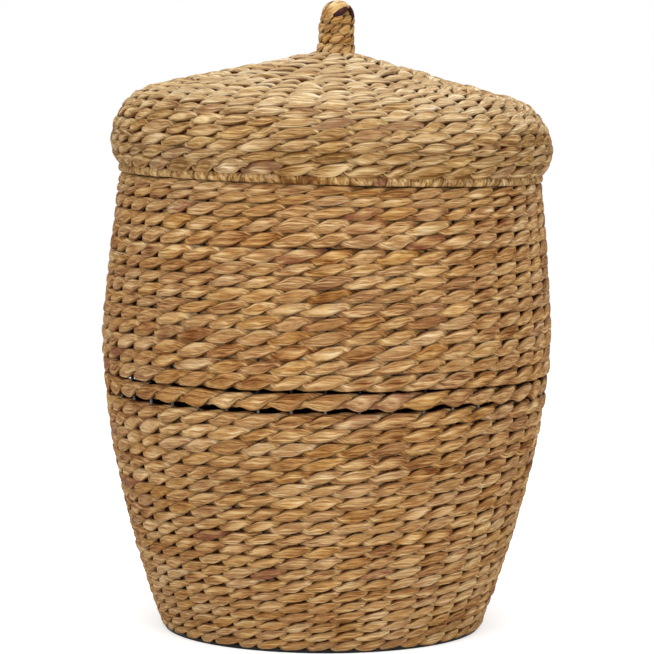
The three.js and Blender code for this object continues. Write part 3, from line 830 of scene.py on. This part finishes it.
def make_lid_weave():
    """Courses from the rim to the knob. On the cone they are looser, and fewer leaves go round."""
    last = cone_distance(KNOB_RADIUS - 4)
    edges = SIDE_EDGES + list(np.linspace(SIDE_EDGES[-1], last, CONE_COURSES + 1)[1:])
    for order, (bottom, top) in enumerate(zip(edges, edges[1:])):
        place, upward = lid_place((bottom + top) / 2)
        node = "lid_weave_side" if place[0] > LID_SEAM else "lid_weave_top"
        spacings = next(leaves for radius, leaves in LID_LEAVES if place[0] > radius)
        # The side's tone is darker and the crown's paler and greyer: painted light from above
        crown = smooth_step((place[1] - CROWN_FOOT) / CROWN_RISE)
        mesh = laid_course(400 + order, place, upward, LID_THICKNESS, top - bottom, spacings, rough=1.2,
                           waist=0.52, taper=0.9, fill=1.04,
                           drifting=0.11 - 0.06 * crown, squeezed=0.82 - 0.24 * crown,
                           tone=-0.6 + 1.2 * crown, blush=-0.5 * crown, muted=0.1 + 0.4 * crown,
                           wave=lid_wave(order))
        place_piece(mesh, f"lid_course_{order + 1:02d}", "lid", [node], LID_HYACINTH)


def lid_wave(order):
    """Rise and fall of a course of the lid round its axis, in millimetres."""
    rng = np.random.default_rng(460 + order)
    starts = rng.uniform(0, FULL_TURN, 4)
    share = 0.25 if order == 0 else 0.45 if order < 8 else 0.8

    def wave(angle):
        return share * sum(np.sin(turns * angle + start) for turns, start in zip((3, 5, 8, 13), starts))

    return wave


# Wrapping of the lid's rim: the middle and half size of its section, and its strand
RIM_RADIUS = 200.4
RIM_HEIGHT = 449.0
RIM_HALF_WIDTH = 8.1
RIM_HALF_HEIGHT = 4.8
RIM_STRAND_LENGTH = 1260
RIM_STRAND_GIRTH = 42
# Its laps' spread of width, steepness at their edges, flatness, and lean with its spread
LAP_UNEVENNESS = 0.4
LAP_STEEPNESS = 0.45
LAP_FLATNESS = 14
LAP_LEAN = (0.08, 0.13)
# A dark stretch of it, a little to the left of the front
DARK_PLACE = FRONT - 0.16
DARK_SPREAD = 0.12
DARK_DEPTH = 1.8


def make_lid_rim():
    """Strand wrapped crosswise round the lid's rim hoop, in flat laps of uneven width."""
    rng = np.random.default_rng(500)
    strips, rings, sides = 92, 10, 14
    bm = bmesh.new()
    bm.loops.layers.uv.new("strand")
    along_layer = bm.verts.layers.float.new("along")
    around_layer = bm.verts.layers.float.new("around")
    for vert in strand_grid(bm, strips * rings, sides):
        share, lap = vert.co.x + 0.5, vert.co.y + 0.5
        vert[along_layer] = share * strips
        vert[around_layer] = lap
        roll_up(vert, FULL_TURN * share, FULL_TURN * lap)
    mesh = finished_mesh("lid_rim_wrapping", bm)
    along = get_values(mesh, "along")
    lap = FULL_TURN * get_values(mesh, "around")
    widths = np.exp(rng.normal(0, LAP_UNEVENNESS, strips))
    edges = np.concatenate([[0], np.cumsum(widths)]) * strips / widths.sum()
    number = np.floor(along).astype(int) % strips
    spread = 2 * (along - np.floor(along)) - 1
    share = 0.5 + 0.5 * np.sign(spread) * np.abs(spread) ** LAP_STEEPNESS
    travel = edges[number] + share * (edges[number + 1] - edges[number])
    ridge = 1 - np.abs(2 * share - 1) ** LAP_FLATNESS
    slant = rng.normal(*LAP_LEAN, strips)[number] * np.sin(lap)
    angle = FRONT + math.pi + FULL_TURN * (travel + slant) / strips
    swell = -0.6 + 0.4 * ridge + rng.normal(0, 0.12, strips)[number] * ridge
    outward, upward = full_section(lap, 0.7)
    radius = RIM_RADIUS + (RIM_HALF_WIDTH + swell) * outward
    level = RIM_HEIGHT + (RIM_HALF_HEIGHT + swell) * upward
    set_points(mesh, np.stack([radius * np.cos(angle), radius * np.sin(angle), level], axis=1))
    dark_stretch = DARK_DEPTH * near(angle, DARK_PLACE, DARK_SPREAD)
    set_values(mesh, "tone", rng.normal(-0.5, 0.35, strips)[number] - dark_stretch)
    set_values(mesh, "blush", np.clip(rng.normal(-0.8, 0.7, strips)[number] + dark_stretch / 2, 0, 1))
    set_values(mesh, "muted", np.clip(rng.normal(0.35, 0.3, strips), 0, 1)[number])
    # Edges of the laps are darkened: partly the dried edge's own brown, partly painted shade in the grooves
    # between laps
    set_values(mesh, "edge", np.clip(1.0 - ridge, 0, 0.85))
    set_strand_map(mesh, lambda shares: shares[:, ::-1] * [RIM_STRAND_GIRTH, RIM_STRAND_LENGTH])
    place_piece(mesh, "lid_rim_wrapping", "lid", ["lid_rim_binding"], LID_HYACINTH)


# Ring of three courses under the lid, which drops into the mouth
LOCATING_RADIUS = 192.0
LOCATING_THICKNESS = 8
LOCATING_EDGES = np.linspace(425.3, 453.5, 4)
UPRIGHT = np.array([0.0, 1.0])


def make_locating_ring():
    """Its courses, twined like the wall's but round nothing."""
    for order, (bottom, top) in enumerate(zip(LOCATING_EDGES, LOCATING_EDGES[1:])):
        place = np.array([LOCATING_RADIUS, (bottom + top) / 2])
        mesh = laid_course(600 + order, place, UPRIGHT, LOCATING_THICKNESS, top - bottom, STAKES, core=0)
        place_piece(mesh, f"locating_course_{order + 1}", "lid", ["lid_locating_ring"],
                    LID_HYACINTH)


# Knob

# Heights between its courses, and the radius to the outside of each
KNOB_EDGES = [566.0, 576.0, 586.5, 595.5, 604.0]
KNOB_RADII = [19.2, 17.8, 17.8, 17.0]
KNOB_THICKNESS = 8.4
KNOB_LEAVES = 10
DOWEL_RADIUS = 9
DOWEL_LENGTH = 52.4
DOWEL_MIDDLE = 580.6
DOWEL_EASE = 0.8
DOME_CENTRE = 602.0
DOME_RADIUS = 13.4
DOME_HEIGHT = 14.4
DOME_DEPTH = 9
# How far a folded strand's middle lies off the dome, how thick it is outside and inside of that,
# and how far each one lies over the one before
FOLD_LIFT = 0.9
FOLD_OUTSIDE = 1.5
FOLD_INSIDE = -3.5
FOLD_STEP = 0.3

# Strands folded over the knob: azimuth from the front and elevation of the start, middle and end,
# in degrees, then half width in millimetres, tone and blush
KNOB_FOLDS = [
    ((170, -25), (190, 60), (-25, 62), 6.0, 0.4, 0.0),
    ((120, -20), (180, 38), (-115, -20), 7.5, 0.2, 0.0),
    ((-66, -14), (-74, 40), (-150, 70), 4.2, -0.1, 0.0),
    ((-48, -6), (4, 46), (100, 52), 7.2, 0.8, 0.0),
    ((76, -40), (78, 4), (96, 50), 4.6, -2.5, 4.0),
    ((-15, 3), (14, 17), (46, 36), 2.5, -2.5, 4.0),
]


def make_knob_courses():
    """Short courses twined round the dowel."""
    for order, (radius, bottom, top) in enumerate(zip(KNOB_RADII, KNOB_EDGES, KNOB_EDGES[1:])):
        place = np.array([radius, (bottom + top) / 2])
        mesh = laid_course(700 + order, place, UPRIGHT, KNOB_THICKNESS, top - bottom, KNOB_LEAVES, core=0,
                           rough=1.4, girth=24, drifting=0.12, squeezed=0.66, fill=1.0, waist=0.52,
                           taper=0.9)
        place_piece(mesh, f"knob_course_{order + 1}", "lid", ["knob_weave"], KNOB_HYACINTH)


def make_knob_dowel():
    """The dowel that the knob's courses go round, with eased rims."""
    bm = bmesh.new()
    bmesh.ops.create_cone(bm, cap_ends=True, segments=32, radius1=DOWEL_RADIUS * METRES,
                          radius2=DOWEL_RADIUS * METRES, depth=DOWEL_LENGTH * METRES)
    bmesh.ops.translate(bm, verts=bm.verts, vec=(0, 0, DOWEL_MIDDLE * METRES))
    rims = [edge for edge in bm.edges if abs(edge.verts[0].co.z - edge.verts[1].co.z) < 1e-6]
    bmesh.ops.bevel(bm, geom=rims, offset=DOWEL_EASE * METRES, affect="EDGES", segments=2, profile=0.5,
                    material=-1)
    place_piece(finished_mesh("knob_core", bm), "knob_dowel", "lid", ["knob_core"], SOFTWOOD)


def finish_knob_strand(mesh, name, tone, blush, to_places):
    """Colours a strand of the knob's cap, maps it and places it."""
    count = len(mesh.vertices)
    for layer, value in (("tone", tone), ("blush", blush), ("muted", 0.5)):
        set_values(mesh, layer, np.full(count, value))
    set_strand_map(mesh, to_places)
    place_piece(mesh, name, "lid", ["knob_cap"], KNOB_HYACINTH)


def make_knob_dome():
    """The wad of strand ends under the folds."""
    bm = bmesh.new()
    bm.loops.layers.uv.new("strand")
    for vert in strand_grid(bm, 36, 18):
        turn, tip = FULL_TURN * (vert.co.x + 0.5), math.pi * (vert.co.y + 0.5)
        ring = DOME_RADIUS * math.sin(tip)
        level = DOME_CENTRE - math.cos(tip) * (DOME_HEIGHT if tip > math.pi / 2 else DOME_DEPTH)
        vert.co = Vector((ring * math.cos(turn), ring * math.sin(turn), level)) * METRES
    mesh = finished_mesh("knob_dome", bm)
    set_values(mesh, "edge", np.full(len(mesh.vertices), 0.6))
    finish_knob_strand(mesh, "knob_dome", -0.6, 0.0, lambda shares: shares * [80, 40])


def make_knob_fold(order, start, middle, end, half_width, tone, blush):
    """A flat strand laid over the dome along a curve of directions."""
    def direction(azimuth, elevation):
        azimuth, elevation = math.radians(azimuth), math.radians(elevation)
        return Vector((math.sin(azimuth) * math.cos(elevation), -math.cos(azimuth) * math.cos(elevation),
                       math.sin(elevation)))

    ends = [direction(*pair) for pair in (start, middle, end)]

    def centre(share):
        mixed = ends[0] * (1 - share) ** 2 + ends[1] * 2 * share * (1 - share) + ends[2] * share ** 2
        return mixed.normalized()

    bm = bmesh.new()
    bm.loops.layers.uv.new("strand")
    edge = bm.verts.layers.float.new("edge")
    for vert in strand_grid(bm, 26, 16):
        share, lap = vert.co.x + 0.5, FULL_TURN * (vert.co.y + 0.5)
        outward = centre(share)
        forward = (centre(share + 0.02) - centre(share - 0.02)).normalized()
        sideways = outward.cross(forward)
        taper = max(0.0, math.sin(math.pi * share)) ** 0.3
        swing = half_width / DOME_RADIUS * math.sin(lap) * taper
        spot = (outward * math.cos(swing) + sideways * math.sin(swing)).normalized()
        deep = FOLD_OUTSIDE if math.cos(lap) > 0 else FOLD_INSIDE
        thick = deep * taper * abs(math.cos(lap)) ** 0.7
        reach = DOME_RADIUS + FOLD_LIFT + thick + FOLD_STEP * order
        vert[edge] = float(smooth_step((abs(math.sin(lap)) - 0.8) / 0.2))
        vert.co = Vector((spot.x * reach, spot.y * reach,
                          DOME_CENTRE + spot.z * (reach + DOME_HEIGHT - DOME_RADIUS))) * METRES
    mesh = finished_mesh("knob_fold", bm)
    finish_knob_strand(mesh, f"knob_fold_{order + 1}", tone, blush,
                       lambda shares: shares * [50, 4 * half_width] + [700 * order, 0])


# Room, light and camera

CAMERA_DISTANCE = 3.05
CAMERA_ELEVATION = math.radians(5.0)
CAMERA_ROLL = math.radians(0.35)
CAMERA_TARGET = Vector((0.0035, 0, 0.2962))
METRES_A_PIXEL = 0.000987


def make_camera():
    """The photograph's view: from the front and a little above, at its scale at the target."""
    data = bpy.data.cameras.new("studio_camera")
    data.sensor_width = 36
    data.lens = data.sensor_width * (CAMERA_DISTANCE / METRES_A_PIXEL) / PHOTO_PIXELS
    camera = bpy.data.objects.new("studio_camera", data)
    bpy.context.scene.collection.objects.link(camera)
    back = Vector((0, -math.cos(CAMERA_ELEVATION), math.sin(CAMERA_ELEVATION))) * CAMERA_DISTANCE
    turn = Matrix.Rotation(math.pi / 2 - CAMERA_ELEVATION, 4, "X") @ Matrix.Rotation(CAMERA_ROLL, 4, "Z")
    camera.matrix_world = Matrix.Translation(CAMERA_TARGET + back) @ turn
    bpy.context.scene.camera = camera


def soft_lamp(name, place, aim, size, power):
    """A square soft lamp, in metres and watts."""
    data = bpy.data.lights.new(name, "AREA")
    data.shape = "SQUARE"
    data.size = size
    data.energy = power
    lamp = bpy.data.objects.new(name, data)
    bpy.context.scene.collection.objects.link(lamp)
    lamp.location = place
    lamp.rotation_euler = (Vector(aim) - Vector(place)).to_track_quat("-Z", "Y").to_euler()


def seen_rays(tree):
    """1 for rays from the camera, reflections and glass, and 0 for the light that falls on things."""
    path = add_node(tree, "ShaderNodeLightPath")
    seen = path.outputs["Is Camera Ray"]
    for other in ("Is Glossy Ray", "Is Transmission Ray"):
        seen = add_node(tree, "ShaderNodeMath", {0: seen, 1: path.outputs[other]},
                        operation="MAXIMUM").outputs[0]
    return seen


def make_world():
    """White to the camera and in reflections, and a soft pale light for all else."""
    world = bpy.data.worlds.new("studio")
    world.use_nodes = True
    tree = world.node_tree
    tree.nodes.clear()
    strength = add_node(tree, "ShaderNodeMapRange", {"Value": seen_rays(tree), "To Min": 0.6, "To Max": 1.0})
    light = add_node(tree, "ShaderNodeBackground", {"Color": (1, 1, 1, 1), "Strength": strength.outputs[0]})
    add_node(tree, "ShaderNodeOutputWorld", {"Surface": light.outputs[0]})
    bpy.context.scene.world = world


def make_floor():
    """A round white floor: pale paint that takes the shadow, and a glow that seen rays meet."""
    bm = bmesh.new()
    bmesh.ops.create_circle(bm, cap_ends=True, segments=96, radius=3.0)
    mesh = finished_mesh("floor", bm)
    if mesh.polygons[0].normal.z < 0:
        mesh.flip_normals()
    floor = bpy.data.objects.new("studio_floor", mesh)
    bpy.context.scene.collection.objects.link(floor)
    material, tree = new_material("white_studio_floor")
    paint = add_node(tree, "ShaderNodeBsdfDiffuse", {"Color": (0.82, 0.82, 0.82, 1)})
    glow = add_node(tree, "ShaderNodeEmission", {"Color": (1, 1, 1, 1), "Strength": 0.55})
    seen = add_node(tree, "ShaderNodeMixShader", {0: seen_rays(tree), 2: glow.outputs[0]})
    both = add_node(tree, "ShaderNodeAddShader", {0: paint.outputs[0], 1: seen.outputs[0]})
    add_node(tree, "ShaderNodeOutputMaterial", {"Surface": both.outputs[0]})
    mesh.materials.append(material)


make_camera()
make_world()
make_floor()
soft_lamp("top_softbox", (0.0, -0.5, 2.2), (0, 0, 0.3), 1.6, 29)
soft_lamp("left_softbox", (-1.6, -2.2, 0.35), (0, 0, 0.1), 1.4, 28)
soft_lamp("right_softbox", (1.6, -2.2, 0.35), (0, 0, 0.1), 1.4, 29.5)
make_foot_ring()
make_base_frame()
make_stakes()
make_basket_hoops()
make_lid_frame()
make_wall()
make_base()
make_lid_weave()
make_lid_rim()
make_locating_ring()
make_knob_courses()
make_knob_dowel()
make_knob_dome()
for fold_order, fold in enumerate(KNOB_FOLDS):
    make_knob_fold(fold_order, *fold)
for blank in blanks.values():
    bpy.data.meshes.remove(blank)

bpy.context.scene.view_settings.view_transform = "Standard"
